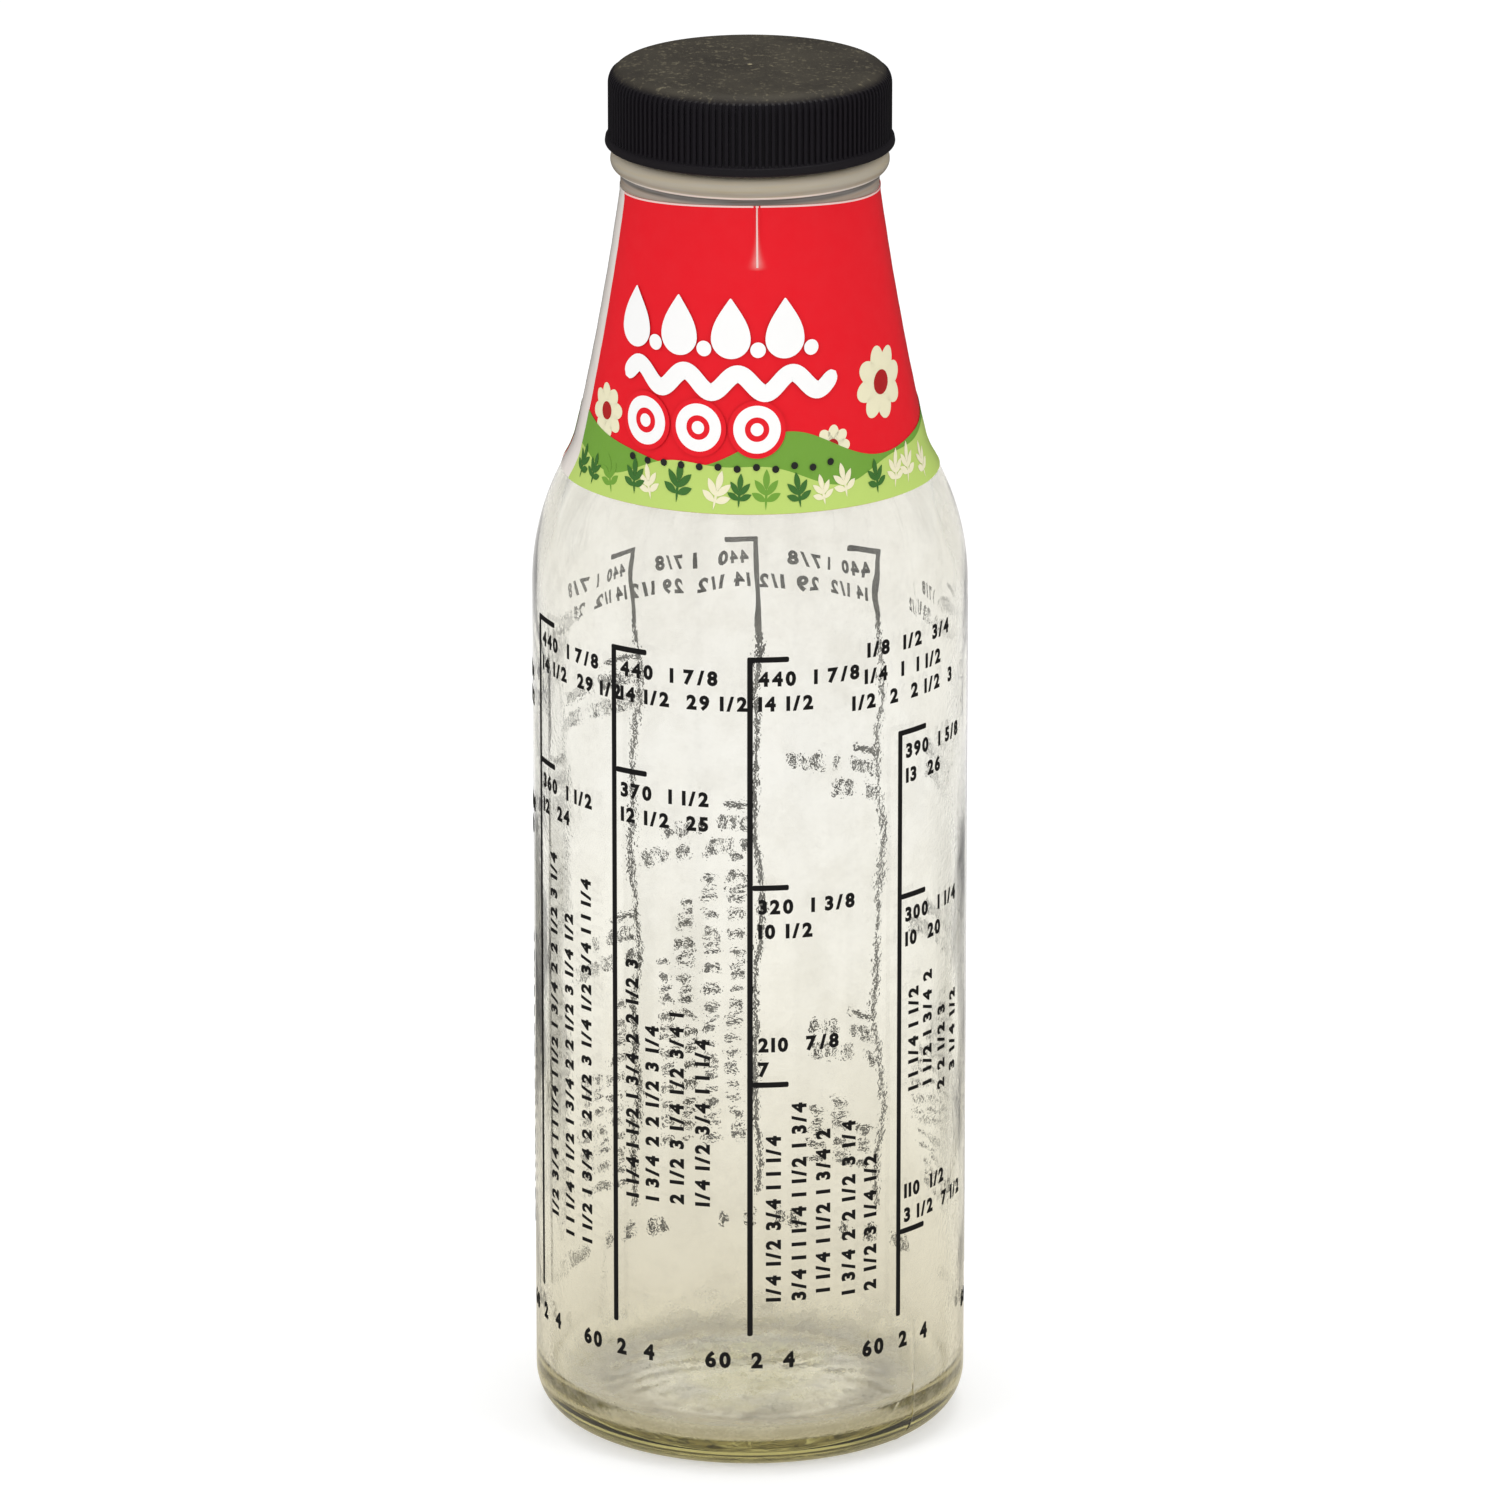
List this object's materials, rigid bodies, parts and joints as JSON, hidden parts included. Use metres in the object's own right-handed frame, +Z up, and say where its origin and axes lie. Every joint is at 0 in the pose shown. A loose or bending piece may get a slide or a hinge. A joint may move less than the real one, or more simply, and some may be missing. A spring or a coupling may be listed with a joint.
{
  "type": "salad dressing shaker bottle",
  "caption": "Tall clear glass shaker bottle with a flared neck, ribbed black screw cap with a foam liner, shrink label round the neck and measuring scales printed on its wall.",
  "frame": {"origin": "centre of the base, on the surface that the bottle stands on", "axes": "+Z up along the bottle's axis to the cap, -Y towards the front, where the scale at 0 degrees stands, +X to the right"},
  "size_m": [0.0701, 0.0702, 0.2256],
  "materials": {
    "clear_glass": "clear container glass with a faint warm green tint",
    "cap_plastic": "black moulded polypropylene, matte on top and satin on the ribs",
    "liner_foam": "white polyethylene foam",
    "label_film": "printed shrink film, glossy",
    "fired_ink": "black ink fired onto the glass"
  },
  "bodies": {
    "bottle": {"glass_bottle": "clear_glass", "neck_label": "label_film", "fill_scales": "fired_ink"},
    "liner": {"cap_liner": "liner_foam"},
    "cap": {"screw_cap": "cap_plastic"}
  },
  "joints": [
    {"name": "cap_lift", "type": "slide", "parent": "bottle", "child": "liner", "axis": [0, 0, 1], "range_m": [0, 0.017]},
    {"name": "cap_turn", "type": "hinge", "parent": "liner", "child": "cap", "pos_m": [0, 0, 0.2122], "axis": [0, 0, 1], "range_deg": [0, 1440]}
  ],
  "couplings": [
    {"joint": "cap_lift", "follows": "cap_turn", "m_per_rad": 0.0006737}
  ]
}
